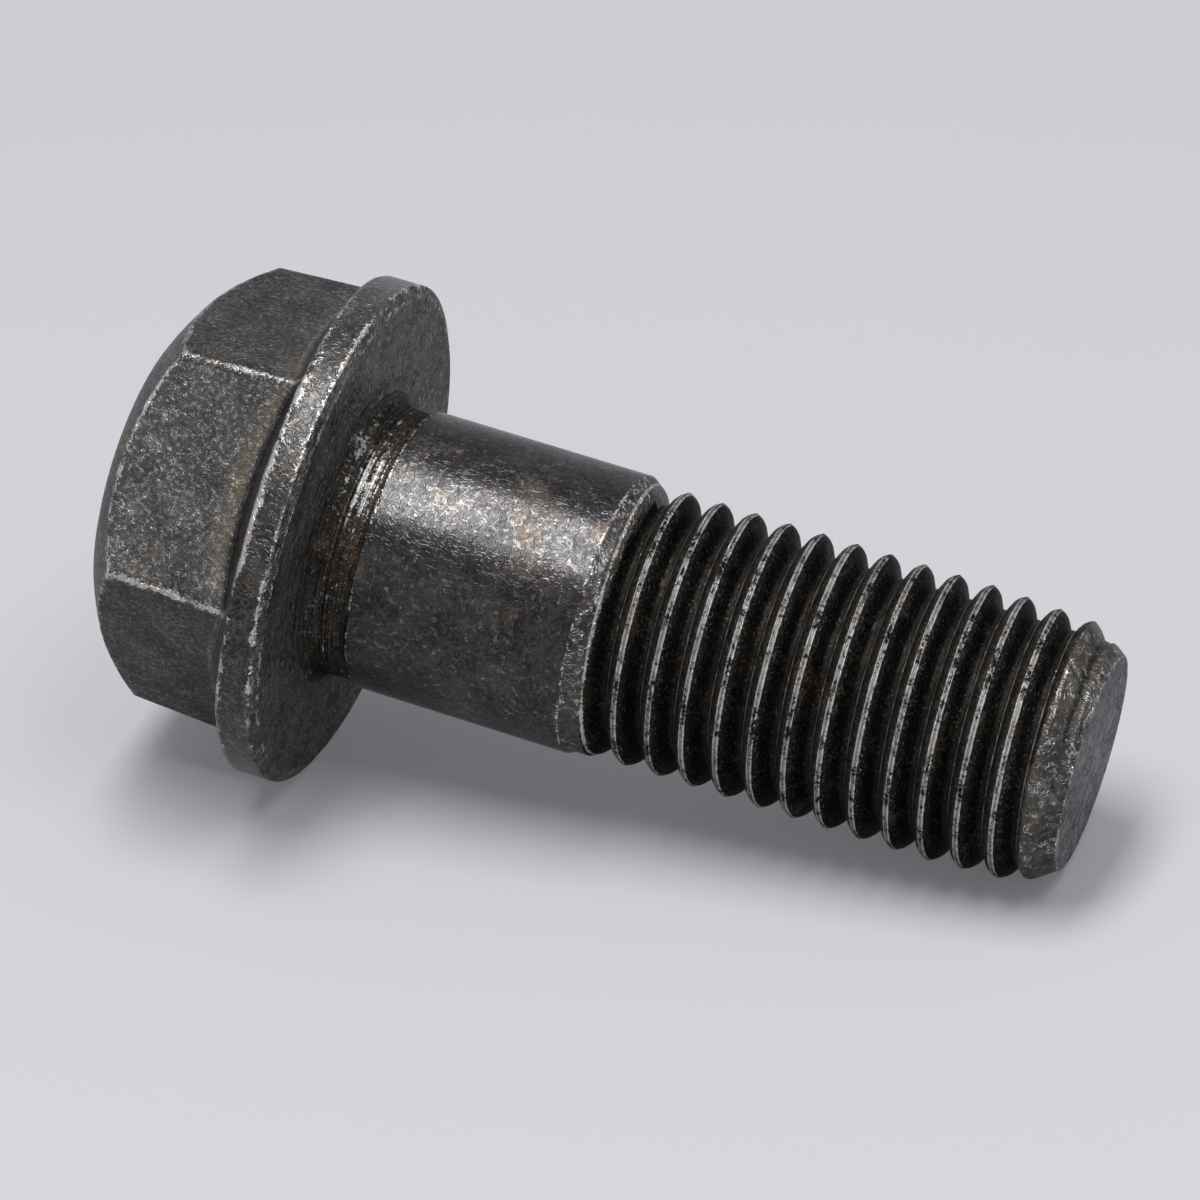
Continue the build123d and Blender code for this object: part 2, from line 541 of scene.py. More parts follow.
class Effects:
    """Node groups that several finishes share, each built once."""

    def __init__(self) -> None:
        """Builds the groups."""
        self.rubbed = self._rubbed()
        self.flecks = self._flecks()
        self.grain = self._grain()
        self.patches = self._patches()

    @staticmethod
    def _new(
        name: str, inputs: dict[str, float], outputs: Sequence[str]
    ) -> tuple[Graph, bpy.types.NodeOutputs, bpy.types.NodeInputs]:
        """An empty group.

        Args:
            name: of the group.
            inputs: its value inputs beside Vector, with their defaults.
            outputs: its value outputs.

        Returns:
            Its graph, what it is given and what it has to put out.
        """
        tree = bpy.data.node_groups.new(name, "ShaderNodeTree")
        tree.interface.new_socket("Vector", in_out="INPUT", socket_type="NodeSocketVector")
        for label, value in inputs.items():
            made = tree.interface.new_socket(label, in_out="INPUT", socket_type="NodeSocketFloat")
            made.default_value = value
        for label in outputs:
            tree.interface.new_socket(label, in_out="OUTPUT", socket_type="NodeSocketFloat")
        graph = Graph(tree)
        return graph, graph.node("NodeGroupInput").outputs, graph.node("NodeGroupOutput").inputs

    def _rubbed(self) -> bpy.types.NodeTree:
        """Edges rubbed bright: broken lines with ragged borders, where the wear is above a noise.

        Returns:
            The group.
        """
        graph, given, result = self._new(
            "Rubbed edge", {"Wear": 0.0, "Size": 0.15, "Soft": 0.1}, ["Mask"]
        )
        vector, size, wear, soft = (given[name] for name in ("Vector", "Size", "Wear", "Soft"))
        fine = graph.noise(vector, size, 2.0, 0.7)
        middle = graph.noise(vector, graph.times(size, 4.0), 1.0)
        long = graph.noise(vector, graph.times(size, 14.0), 1.0)
        broad = graph.plus(graph.swing(middle, 1.6), graph.swing(long, 1.0))
        limit = graph.plus(graph.plus(graph.swing(fine, 2.2), broad), 0.62)
        mask = graph.step(wear, graph.minus(limit, soft), graph.plus(limit, soft))
        graph.put(result["Mask"], graph.times(mask, graph.step(wear, 0.04, 0.2)))
        return graph.tree

    def _flecks(self) -> bpy.types.NodeTree:
        """Short curved scratches and specks, where a fine noise crosses its middle inside small spots.

        Returns:
            The group.
        """
        graph, given, result = self._new("Flecks", {"Size": 0.16, "Amount": 0.5}, ["Mask"])
        vector, size = given["Vector"], given["Size"]
        ridge = graph.math("ABSOLUTE", graph.swing(graph.noise(vector, size, 0.0, 0.5, 2.2), 1.0))
        thin = graph.minus(1.0, graph.step(ridge, 0.02, 0.09))
        spots = graph.noise(vector, graph.times(size, 1.1), 0.0)
        sparse = graph.noise(vector, graph.times(size, 9.0), 1.0)
        level = graph.plus(spots, graph.swing(sparse, 0.35))
        low = graph.minus(0.74, graph.times(given["Amount"], 0.3))
        graph.put(result["Mask"], graph.times(thin, graph.step(level, low, graph.plus(low, 0.08))))
        return graph.tree

    def _grain(self) -> bpy.types.NodeTree:
        """Crinkled skin: curled ridges, fine and coarse, with the same height as its tone.

        Returns:
            The group.
        """
        graph, given, result = self._new(
            "Crinkled grain", {"Size": 0.16, "Coarse": 0.5}, ["Height", "Tone"]
        )
        vector, size = given["Vector"], given["Size"]
        fine = graph.noise(vector, graph.times(size, 0.7), 1.0)
        curl = graph.noise(vector, graph.times(size, 1.9), 0.0, 0.5, 3.0)
        crease = graph.step(graph.math("ABSOLUTE", graph.swing(curl, 2.0)), 0.0, 0.2)
        wide = graph.noise(vector, graph.times(size, 6.0), 1.0)
        skin = graph.plus(graph.times(fine, 0.6), graph.times(crease, -0.5))
        graph.put(result["Height"], graph.plus(skin, graph.times(wide, given["Coarse"])))
        tone = graph.plus(graph.swing(fine, 0.8), graph.minus(0.8, graph.times(crease, 0.5)))
        graph.put(result["Tone"], graph.step(graph.plus(tone, graph.swing(wide, 0.6)), 0.0, 1.0))
        return graph.tree

    def _patches(self) -> bpy.types.NodeTree:
        """Uneven patches, as of brown rust or of thinner oxide, and grains strewn over them.

        Returns:
            The group.
        """
        graph, given, result = self._new("Patches", {"Size": 1.5, "Amount": 0.5}, ["Mask", "Specks"])
        vector, size = given["Vector"], given["Size"]
        wide = graph.noise(vector, size, 2.0, 0.6)
        fine = graph.noise(vector, graph.times(size, 0.1), 1.0, 0.6)
        low = graph.minus(0.72, graph.times(given["Amount"], 0.4))
        mask = graph.step(graph.plus(wide, graph.swing(fine, 0.5)), low, graph.plus(low, 0.2))
        graph.put(result["Mask"], mask)
        tiny = graph.noise(vector, graph.times(size, 0.06), 0.0)
        cut = graph.plus(low, 0.14)
        specks = graph.step(graph.plus(tiny, graph.swing(wide, 0.7)), cut, graph.plus(cut, 0.05))
        graph.put(result["Specks"], specks)
        return graph.tree


@dataclass(frozen=True)
class Finish:
    """Blackened steel that has been handled: one region's colours, roughness, grain and wear.

    Sizes are in mm.

    dark, light: the oxide's two ends. brown, rust: its patches and their specks.
    bright, tan, tan_share: bare steel, and how much of it is tanned.
    ochre: where dirt has settled, and on the thread's head-facing flanks partly painted light.
    metal, rough, bright_rough, edge_tint: how it reflects, as oxide, as bare steel and at a glance.
    ring_size, ring_depth, ring_tone: tool marks round the axis, none where the size is 0.
    """

    name: str
    dark: Colour = (0.035, 0.035, 0.036)
    light: Colour = (0.125, 0.124, 0.126)
    brown: Colour = (0.070, 0.050, 0.032)
    rust: Colour = (0.30, 0.17, 0.075)
    bright: Colour = (0.66, 0.655, 0.65)
    tan: Colour = (0.52, 0.40, 0.25)
    tan_share: float = 0.5
    ochre: Colour = (0.160, 0.120, 0.077)
    # the colour that painted shade darkens towards
    shadow: Colour = (0.22, 0.21, 0.20)
    metal: float = 0.85
    soiled_metal: float = 0.15
    rough: float = 0.50
    bright_rough: float = 0.42
    edge_tint: float = 1.0
    grain: float = 0.15
    grain_depth: float = 0.05
    coarse: float = 0.4
    mottle: float = 1.3
    mottle_share: float = 0.2
    fleck_size: float = 0.15
    fleck_amount: float = 0.6
    fleck_bright: float = 0.5
    patch_size: float = 1.6
    patch_amount: float = 0.35
    patch_share: float = 0.6
    speck_share: float = 0.25
    wear_size: float = 0.13
    wear_soft: float = 0.16
    ring_size: float = 0.0
    ring_depth: float = 0.0
    ring_tone: float = 0.0

    def build(self, effects: Effects) -> bpy.types.Material:
        """Makes the material.

        Args:
            effects: the shared node groups.

        Returns:
            The material, its Principled BSDF fed by colours, masks and bumps.
        """
        material = bpy.data.materials.new(self.name)
        material.use_nodes = True
        graph = Graph(material.node_tree)
        shader = material.node_tree.nodes["Principled BSDF"]
        shader.inputs["Specular Tint"].default_value = (self.edge_tint,) * 3 + (1.0,)
        place = graph.millimetres()
        wear, stain, painted_shade = graph.mark(Mark.WEAR), graph.mark(Mark.STAIN), graph.mark(Mark.PAINTED_SHADE)

        skin = graph.group(effects.grain, vector=place, size=self.grain, coarse=self.coarse)
        rubbed = graph.group(
            effects.rubbed, vector=place, wear=wear, size=self.wear_size, soft=self.wear_soft
        )["Mask"]
        flecks = graph.group(
            effects.flecks, vector=place, size=self.fleck_size, amount=self.fleck_amount
        )["Mask"]
        patches = graph.group(
            effects.patches, vector=place, size=self.patch_size, amount=self.patch_amount
        )
        flecks = graph.times(flecks, self.fleck_bright)
        patch = graph.times(patches["Mask"], self.patch_share)

        mottle = graph.step(graph.noise(place, self.mottle, 2.0, 0.65), 0.30, 0.70)
        tone = graph.between(self.mottle_share, skin["Tone"], mottle)
        colour = graph.blend(tone, self.dark, self.light)
        colour = graph.blend(patch, colour, self.brown)
        colour = graph.blend(graph.times(patches["Specks"], self.speck_share), colour, self.rust)
        rings = self._rings(graph, place) if self.ring_size > 0 else None
        if rings is not None:
            colour = graph.blend(graph.times(rings, self.ring_tone), colour, self.bright)
        grains = graph.plus(skin["Tone"], graph.swing(graph.noise(place, 0.4, 1.0), 1.5))
        grains = graph.step(grains, 0.0, 0.8)
        soiled = graph.math("MULTIPLY", stain, graph.between(0.6, 1.0, grains), clamp=True)
        colour = graph.blend(soiled, colour, self.ochre)
        tinge = graph.step(graph.noise(place, 0.5, 1.0, 0.7), 0.42, 0.60)
        worn = graph.blend(graph.times(tinge, self.tan_share), self.bright, self.tan)
        worn = graph.blend(skin["Tone"], tuple(0.6 * part for part in self.bright), worn)
        colour = graph.blend(rubbed, graph.blend(flecks, colour, worn), worn)
        # painted shade: the shade mark darkens the colour towards the shadow colour
        graph.put(shader.inputs["Base Color"], graph.blend(painted_shade, colour, self.shadow, "MULTIPLY"))

        shine, covered = graph.greater(rubbed, flecks), graph.greater(soiled, patch)
        metal = graph.between(covered, self.metal, self.soiled_metal)
        graph.put(shader.inputs["Metallic"], graph.between(shine, metal, 1.0))
        rough = graph.plus(self.rough + 0.06, graph.times(tone, -0.12))
        rough = graph.between(covered, rough, min(self.rough + 0.12, 0.9))
        graph.put(shader.inputs["Roughness"], graph.between(shine, rough, self.bright_rough))

        normal = graph.bump(skin["Height"], self.grain_depth)
        if rings is not None:
            normal = graph.bump(rings, self.ring_depth, normal)
        graph.put(shader.inputs["Normal"], normal)
        return material

    def _rings(self, graph: Graph, place: Socket) -> Socket:
        """Fine tool marks that run round the axis, from a noise along radius and height.

        Args:
            graph: the material's.
            place: coordinates in mm, with the axis along z.

        Returns:
            The marks, between 0 and 1.
        """
        x, y, z = graph.node("ShaderNodeSeparateXYZ", {0: place}).outputs
        radius = graph.math("SQRT", graph.plus(graph.times(x, x), graph.times(y, y)))
        along = {
            0: graph.math("DIVIDE", radius, self.ring_size),
            1: graph.plus(graph.times(x, 0.25), graph.times(z, 1 / self.ring_size)),
            2: graph.times(y, 0.25),
        }
        marks = graph.noise(graph.node("ShaderNodeCombineXYZ", along).outputs[0], 1.0, 2.0, 0.6)
        return graph.step(marks, 0.42, 0.68)


FINISHES = (
    Finish(
        "forged scale", dark=(0.034, 0.034, 0.035), light=(0.148, 0.147, 0.149), grain=0.28,
        grain_depth=0.06, fleck_size=0.19, fleck_amount=0.7, fleck_bright=0.55, tan_share=0.6,
    ),
    Finish(
        "rubbed rim", dark=(0.020, 0.0195, 0.019), light=(0.105, 0.102, 0.099), rough=0.28,
        grain=0.36, grain_depth=0.028, fleck_size=0.24, fleck_amount=0.35, fleck_bright=0.3,
        patch_size=1.0, patch_amount=0.4,
    ),
    Finish(
        "faced ring", dark=(0.012, 0.012, 0.012), light=(0.15, 0.149, 0.149), rough=0.42,
        edge_tint=0.6, grain=0.40, grain_depth=0.12, mottle_share=0.4, ring_size=0.12,
        ring_depth=0.03, ring_tone=0.06, fleck_size=0.24, fleck_amount=0.5, fleck_bright=0.5,
        patch_amount=0.25,
    ),
    Finish(
        "scored neck", dark=(0.009, 0.0083, 0.0075), light=(0.048, 0.043, 0.037), metal=0.95,
        rough=0.30, edge_tint=0.4, grain_depth=0.03, ring_size=0.07, ring_depth=0.025,
        ring_tone=0.08, ochre=(0.10, 0.074, 0.040), patch_amount=0.4, fleck_amount=0.4,
    ),
    Finish(
        "fitted shank", dark=(0.018, 0.018, 0.019), light=(0.080, 0.079, 0.081), metal=0.92,
        rough=0.23, edge_tint=0.75, grain=0.32, grain_depth=0.0095, mottle_share=0.3,
        fleck_size=0.24, fleck_amount=0.42, fleck_bright=0.28, tan_share=1.0, patch_size=2.2,
        patch_amount=0.45, patch_share=0.5, speck_share=0.1,
    ),
    Finish(
        "rolled thread", dark=(0.006, 0.0057, 0.0053), light=(0.040, 0.038, 0.035), metal=0.9,
        rough=0.36, bright=(0.84, 0.835, 0.83), tan=(0.66, 0.52, 0.35), edge_tint=0.25,
        ochre=(0.080, 0.066, 0.050), grain_depth=0.03, fleck_size=0.12, fleck_amount=0.4,
        fleck_bright=0.3, wear_soft=0.25, patch_amount=0.3, speck_share=0.2,
    ),
    Finish(
        "scored cone", dark=(0.030, 0.029, 0.028), light=(0.17, 0.165, 0.158), rough=0.28,
        edge_tint=0.5, grain=0.40, grain_depth=0.06, patch_size=0.9, patch_amount=0.4,
        speck_share=0.2, fleck_size=0.34, fleck_amount=0.6, fleck_bright=0.9, tan_share=0.8,
    ),
    Finish(
        "sheared end", dark=(0.030, 0.030, 0.032), light=(0.32, 0.32, 0.335), rough=0.45,
        edge_tint=0.45, grain=0.50, grain_depth=0.14, fleck_amount=0.15, patch_amount=0.3,
        patch_share=0.4, speck_share=0.1,
    ),
)


# ---------------------------------------------------------------------------------------------------
# The bolt's pieces
# ---------------------------------------------------------------------------------------------------


@dataclass
class ForgedHead:
    """Hexagon head and its flange, to the fillet under the neck. Sizes in mm, angles in degrees.

    edge_wear, edge_width: how bright each of the hexagon's edges is rubbed, from +X on, and how wide.
    back_rub_and_highlight, front_rub_and_highlight: azimuth and spread of the place where each of the
    rim's edges is brightest: partly real wear, partly a painted highlight where the key light glints.
    painted_flat_shade: painted shade on each of the hexagon's flats, from the one past +X on, so that the
    flats look lit unequally.
    painted_top_shade, painted_slope_shade, painted_fillet_shade: painted shade on the top and its
    chamfer, on the flange's sloped back and in the fillet.
    scale_depth: of the forged skin under the clean form, and of its lumps.
    """

    height: float = 9.2
    flange_r: float = 11.05
    flats: float = 16.7
    draft: float = 3.3
    corner: float = 0.45
    offset: float = -0.33
    top_r: float = 6.5
    chamfer_angle: float = 27.0
    crown: float = 16.0
    chamfer_offset: float = -0.4
    rim_height: float = 1.4
    bevel_width: float = 0.5
    bevel_height: float = 0.25
    slope: float = 25.0
    neck_r: float = 5.95
    neck_fillet: float = 0.8
    neck_start: float = 0.84
    lap: float = 0.1  # how far the shell goes on inside the neck
    edge_wear: tuple[float, ...] = (0.6, 0.65, 0.7, 0.65, 0.92, 0.88)
    edge_width: float = 0.24
    painted_flat_shade: tuple[float, ...] = (0.45, 0.3, 0.2, 0.6, 0.0, 0.55)
    back_rub_and_highlight: tuple[float, float] = (-98, 32)
    front_rub_and_highlight: tuple[float, float] = (-130, 22)
    painted_top_shade: float = 0.3
    painted_slope_shade: float = 0.6
    painted_fillet_shade: float = 0.35
    scale_depth: float = 0.012
    dent_depth: float = 0.006
    nick_depth: float = 0.24
    columns_per_corner: int = 80

    def azimuths(self) -> np.ndarray:
        """Azimuths of the columns, crowded at the hexagon's corners.

        Returns:
            The azimuths, in radians.
        """
        around = []
        for k in range(EDGES):
            middle = math.radians(APART * k)
            reach = (self.flats / 2 + 0.25) / math.cos(HALF_SIDE)
            x, y = self.offset + reach * math.cos(middle), reach * math.sin(middle)
            lower, upper = (math.radians(APART * k + way * APART / 2) for way in (-1, 1))
            edge = lower + (math.atan2(y, x) - lower) % math.tau
            for j in range(self.columns_per_corner):
                share = (j + 0.5) / self.columns_per_corner * 2 - 1
                warped = 0.28 * share + 0.72 * share**3
                half = (upper - edge) if warped > 0 else (edge - lower)
                around.append(edge + warped * half)
        return np.array(around)

    def hexagon_r(self, azimuths: np.ndarray, z: np.ndarray) -> np.ndarray:
        """Distance from the axis to the drafted, round-cornered hexagon.

        Args:
            azimuths: in radians.
            z: height at each azimuth.

        Returns:
            The distances.
        """
        grown = (z + self.height) * math.tan(math.radians(self.draft))
        apothem, corner = self.flats / 2 + grown, self.corner + grown
        centre = (apothem - corner) / math.cos(HALF_SIDE)
        ux, uy = np.cos(azimuths), np.sin(azimuths)
        radius = apothem / math.cos(HALF_SIDE) * np.ones_like(azimuths)
        for _ in range(8):
            x, y = radius * ux - self.offset, radius * uy
            local = np.arctan2(y, x)
            turned = np.abs((local + HALF_SIDE) % (2 * HALF_SIDE) - HALF_SIDE)
            flat = apothem / np.cos(HALF_SIDE - turned)
            inside = np.clip(corner**2 - (centre * np.sin(turned)) ** 2, 0, None)
            arc = centre * np.cos(turned) + np.sqrt(inside)
            tangent = np.arctan2(corner * 0.5, centre + corner * math.cos(HALF_SIDE))
            reach = np.where(turned < tangent, arc, flat)
            along = self.offset * ux
            radius = along + np.sqrt(np.clip(along**2 - self.offset**2 + reach**2, 0, None))
        return radius

    def corner_distance(self, azimuths: np.ndarray) -> tuple[np.ndarray, np.ndarray]:
        """How far each column is from the hexagon's nearest edge.

        Args:
            azimuths: in radians.

        Returns:
            The distances in mm, and the number of each nearest edge.
        """
        reach = self.flats / 2 / math.cos(HALF_SIDE)
        edges = []
        for k in range(EDGES):
            turn = math.radians(APART * k)
            edges.append(math.atan2(reach * math.sin(turn), self.offset + reach * math.cos(turn)))
        away = np.abs((azimuths[None, :] - np.array(edges)[:, None] + math.pi) % math.tau - math.pi)
        return away.min(0) * reach, away.argmin(0)

    def chamfer_z(self, azimuths: np.ndarray, radius: np.ndarray) -> np.ndarray:
        """Height of the crowned chamfer.

        Args:
            azimuths: in radians.
            radius: distance from the axis at each azimuth.

        Returns:
            The heights.
        """
        tilt = math.radians(self.chamfer_angle)
        centre_r = self.top_r - self.crown * math.sin(tilt)
        centre_z = -self.height + self.crown * math.cos(tilt)
        away = np.hypot(radius * np.cos(azimuths), radius * np.sin(azimuths) - self.chamfer_offset)
        return centre_z - np.sqrt(np.clip(self.crown**2 - (away - centre_r) ** 2, 0, None))

    def top_edge(self, azimuths: np.ndarray) -> np.ndarray:
        """Distance from the axis to the edge of the flat top."""
        along = self.chamfer_offset * np.sin(azimuths)
        return along + np.sqrt(self.top_r**2 - self.chamfer_offset**2 + along**2)

    def edge(self, azimuths: np.ndarray) -> tuple[np.ndarray, np.ndarray]:
        """Where the chamfer meets the hexagon's sides, found by halving.

        Args:
            azimuths: in radians.

        Returns:
            Distances from the axis, and heights.
        """
        low = np.full_like(azimuths, -self.height)
        high = np.full_like(azimuths, -3.0)
        for _ in range(40):
            z = (low + high) / 2
            above = self.chamfer_z(azimuths, self.hexagon_r(azimuths, z)) > z
            low, high = np.where(above, z, low), np.where(above, high, z)
        return self.hexagon_r(azimuths, low), low

    def rim_back(self, azimuths: np.ndarray) -> np.ndarray:
        """Height of the rim's edge on the hexagon's side, which waves a little as forged.

        Args:
            azimuths: in radians.

        Returns:
            The heights.
        """
        turned = azimuths - math.radians(Side.FRONT.value)
        wave = 0.06 * np.cos(turned) + 0.17 * np.cos(2 * turned)
        ragged = 0.10 * noise_round(azimuths, 2.2, 3.1)
        return -(self.bevel_height + self.rim_height) - 0.05 + wave + ragged

    def foot(self, azimuths: np.ndarray, rim: np.ndarray) -> tuple[np.ndarray, np.ndarray]:
        """Where the hexagon's sides meet the flange's sloped back.

        Args:
            azimuths: in radians.
            rim: height of the rim's edge at each azimuth.

        Returns:
            Distances from the axis, and heights.
        """
        z = np.full_like(azimuths, -2.5)
        for _ in range(20):
            radius = self.hexagon_r(azimuths, z)
            z = rim - (self.flange_r - radius) * math.tan(math.radians(self.slope))
        return radius, z

    @staticmethod
    def rubbed_round(azimuths: np.ndarray, base: float, seed: float) -> np.ndarray:
        """How much an edge is rubbed at each azimuth, more here and less there."""
        return np.clip(base + 0.5 * noise_round(azimuths, 1.6, seed, seed), 0.05, 1)

    def corners(self, azimuths: np.ndarray) -> list[Corner]:
        """The profile's corners at each column, from the middle of the flat top to inside the neck.

        Args:
            azimuths: in radians.

        Returns:
            The corners, in order.
        """
        top_r = self.top_edge(azimuths)
        edge_r, edge_z = self.edge(azimuths)
        rim = self.rim_back(azimuths)
        foot_r, foot_z = self.foot(azimuths, rim)
        one, two = top_r + (edge_r - top_r) / 3, top_r + (edge_r - top_r) * 2 / 3
        edge_wear = self.rubbed_round(azimuths, 0.85, 5.7)
        back_wear = self.rubbed_round(azimuths, 0.45, 2.3)
        # the rim's edges rubbed all round as real wear, and most where the key light glints on them, as a
        # painted highlight
        back_wear = np.maximum(back_wear, 1.2 * near(azimuths, *self.back_rub_and_highlight))
        front_wear = self.rubbed_round(azimuths, 0.5, 7.1)
        front_wear = np.maximum(front_wear, 1.05 * near(azimuths, *self.front_rub_and_highlight))
        inside = self.neck_start + self.lap
        return [
            Corner(0.0, -self.height, run=7),
            Corner(top_r, -self.height, 0.09, 4, 1, wear=0.4, width=0.3),
            Corner(one, self.chamfer_z(azimuths, one), run=1),
            Corner(two, self.chamfer_z(azimuths, two), run=1),
            Corner(edge_r, edge_z, 0.07, 5, 15, wear=edge_wear, width=0.22),
            Corner(foot_r, foot_z, 0.33, 6, 5),
            Corner(self.flange_r, rim, 0.17, 6, 6, wear=back_wear, width=0.30),
            Corner(self.flange_r, -self.bevel_height, 0.05, 4, 3, wear=front_wear, width=0.20),
            Corner(self.flange_r - self.bevel_width, 0.0, 0.05, 4, 12, wear=0.4, width=0.2),
            Corner(self.neck_r, 0.0, self.neck_fillet, 10),
            Corner(self.neck_r, self.neck_start, 0.03, 3),
            Corner(self.neck_r - 0.3, inside),
            Corner(0.0, inside),
        ]

    def build(
        self,
        forged: bpy.types.Material,
        rim: bpy.types.Material,
        faced: bpy.types.Material,
        neck: bpy.types.Material,
    ) -> bpy.types.Object:
        """Makes the head.

        Args:
            forged: finish of the hexagon.
            rim: finish of the flange's back and rim.
            faced: finish of the bearing face.
            neck: finish of the fillet under the neck.

        Returns:
            The head's object.
        """
        azimuths = self.azimuths()
        columns = len(azimuths)
        traced = trace(self.corners(azimuths), columns)
        edge, foot, rim_back, bevel, face, fillet = traced.first[4:10]
        r, z, wear = traced.r.copy(), traced.z.copy(), traced.wear.copy()
        x, y = r * np.cos(azimuths), r * np.sin(azimuths)
        lumps = waviness(x, y, z, 1.7, 4.2)
        dents = waviness(x, y, z, 0.55, 9.7)
        nicks = np.clip(waviness(x, y, z, 0.35, 1.3) - 0.18, 0, None)

        rows = np.arange(traced.rows)[:, None]
        skin = self.scale_depth + self.scale_depth * lumps
        r -= np.where((rows >= edge - 2) & (rows < rim_back), skin + self.dent_depth * dents, 0)
        r -= np.where((rows >= rim_back) & (rows < face), skin, 0)
        r -= self.nick_depth * nicks * np.clip(wear - 0.3, 0, 1)
        z += np.where((rows >= rim_back - 2) & (rows < rim_back + 5), 0.03 * dents, 0)

        away, which = self.corner_distance(azimuths)
        strength = np.array(self.edge_wear)[which]
        down = strength * falling(np.maximum(away - 0.02, 0), self.edge_width)
        flat = (rows >= edge) & (rows < rim_back - 3)
        wear = np.maximum(wear, np.where(flat, down[None, :], 0))
        top_corner = falling(np.hypot(away[None, :], z - z[edge]), 0.7)
        wear = np.maximum(wear, np.where(flat, 0.62 * top_corner * strength[None, :], 0))

        up = z[foot] - z + 0.15
        band = np.clip(up / 0.2, 0, 1) * falling(up - 0.2, 1.15) ** 1.2
        facing = 0.35 + 0.65 * near(azimuths, Side.FRONT.value, 34)
        stain = np.where((rows >= edge) & (rows <= foot + 3), band, 0)
        stain = stain * np.clip(away / 0.9, 0.3, 1) * facing
        stain = np.where(rows >= fillet, 0.4 * falling(rows - fillet, 6), stain)
        # painted shade: each flat darkened by its own amount, so that the flats look lit unequally
        flats = np.floor(np.degrees(azimuths) / APART).astype(int) % EDGES
        painted_flat_shade = np.array(self.painted_flat_shade)[flats]
        streaks = np.clip(waviness(x * 0.1, y * 0.1, z * 3 + r * 2, 0.5, 6.6) + 0.1, 0, 1)
        # the neck's streaks under the fillet: partly real wear, partly a painted highlight
        wear = np.maximum(wear, np.where(rows >= fillet + 1, streak_wear_and_highlight(azimuths) * streaks, 0))
        # painted shade on the flange's sloped back, which faces away from the light
        painted_shade = np.where((rows > foot + 1) & (rows < rim_back - 1), self.painted_slope_shade, 0.0)
        painted_shade = painted_shade * np.ones_like(r)
        # painted shade on the top and its chamfer
        painted_shade = np.where(rows <= foot, np.where(rows < edge, self.painted_top_shade, painted_flat_shade[None, :]), painted_shade)
        # painted shade in the fillet under the neck
        painted_shade = np.where((rows >= fillet - 1) & (rows < fillet + 3), self.painted_fillet_shade, painted_shade)

        tube = Tube(traced.rows, columns)
        tube.press(azimuths, r, z, {Mark.WEAR: wear, Mark.STAIN: stain, Mark.PAINTED_SHADE: painted_shade})
        tube.dress([0, foot + 3, bevel + 1, fillet + 2])
        tube.unroll(traced.r[:, 0], traced.z[:, 0], 2)
        return tube.finish("forged_head", [forged, rim, faced, neck])


